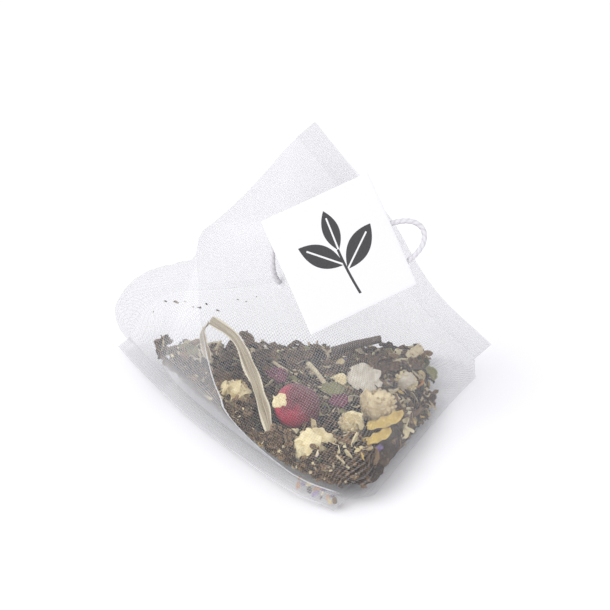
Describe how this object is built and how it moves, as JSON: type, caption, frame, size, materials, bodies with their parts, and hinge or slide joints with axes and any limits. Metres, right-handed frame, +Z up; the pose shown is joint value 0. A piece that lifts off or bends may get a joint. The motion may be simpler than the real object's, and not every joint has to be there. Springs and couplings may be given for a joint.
{
  "type": "pyramid tea bag",
  "caption": "Four-cornered woven mesh tea bag with crossed heat seals, filled with loose leaf, dried flowers and fruit, with a square paper tag and folded thread.",
  "frame": {"origin": "under the middle of the bag's bounding box, on the surface it rests on", "axes": "+Z up, from the resting face towards the raised peak; +Y to the back, away from the tag; +X to the right, towards the low end of the top seal"},
  "size_m": [0.0736, 0.0624, 0.061],
  "materials": {
    "woven_mesh": "translucent white woven mesh, heat sealed along two edges",
    "tag_paper": "uncoated white card",
    "thread": "soft white twisted thread",
    "tea_leaf": "dry rolled dark leaf",
    "cream_petal": "dry cream petals and florets",
    "straw_stalk": "dry straw-coloured blade and florets",
    "yellow_petal": "dry yellow petals",
    "green_leaf": "dry green leaf",
    "purple_petal": "dry purple petals",
    "hibiscus": "dry wine-red petals",
    "red_berry": "dry wrinkled berry skin",
    "pale_petal": "dry off-white petals",
    "orange_peel": "dry peel"
  },
  "bodies": {
    "root": {"mesh_bag": "woven_mesh", "tag": "tag_paper", "thread": "thread", "red_berry": "red_berry", "chamomile_head_1": "cream_petal", "chamomile_head_2": "straw_stalk", "chamomile_head_3": "straw_stalk", "chamomile_head_4": "cream_petal", "chamomile_bud": "green_leaf", "apple_piece": "pale_petal", "lemongrass_blade": "straw_stalk", "lemongrass_fold": "straw_stalk", "twig": "tea_leaf", "stalk_1": "straw_stalk", "stalk_2": "pale_petal", "stalk_3": "straw_stalk", "pale_petal_1": "pale_petal", "pale_petal_2": "pale_petal", "pale_petal_3": "pale_petal", "cream_petal": "cream_petal", "berry_flake": "pale_petal", "yellow_petal": "yellow_petal", "yellow_strip_1": "yellow_petal", "yellow_strip_2": "yellow_petal", "purple_petal_1": "purple_petal", "purple_petal_2": "purple_petal", "hibiscus_piece_1": "hibiscus", "hibiscus_piece_2": "hibiscus", "orange_peel": "orange_peel", "green_leaf_1": "green_leaf", "green_leaf_2": "green_leaf", "green_leaf_3": "green_leaf", "yellow_bud": "yellow_petal", "flower_bit": "cream_petal", "tea_curl_1": "tea_leaf", "tea_curl_2": "tea_leaf", "tea_curl_3": "tea_leaf", "tea_curl_4": "tea_leaf", "tea_curl_5": "tea_leaf", "tea_curl_6": "tea_leaf", "tea_curl_7": "tea_leaf", "tea_curl_8": "tea_leaf", "tea_leaf_bed": "tea_leaf"}
  },
  "joints": []
}
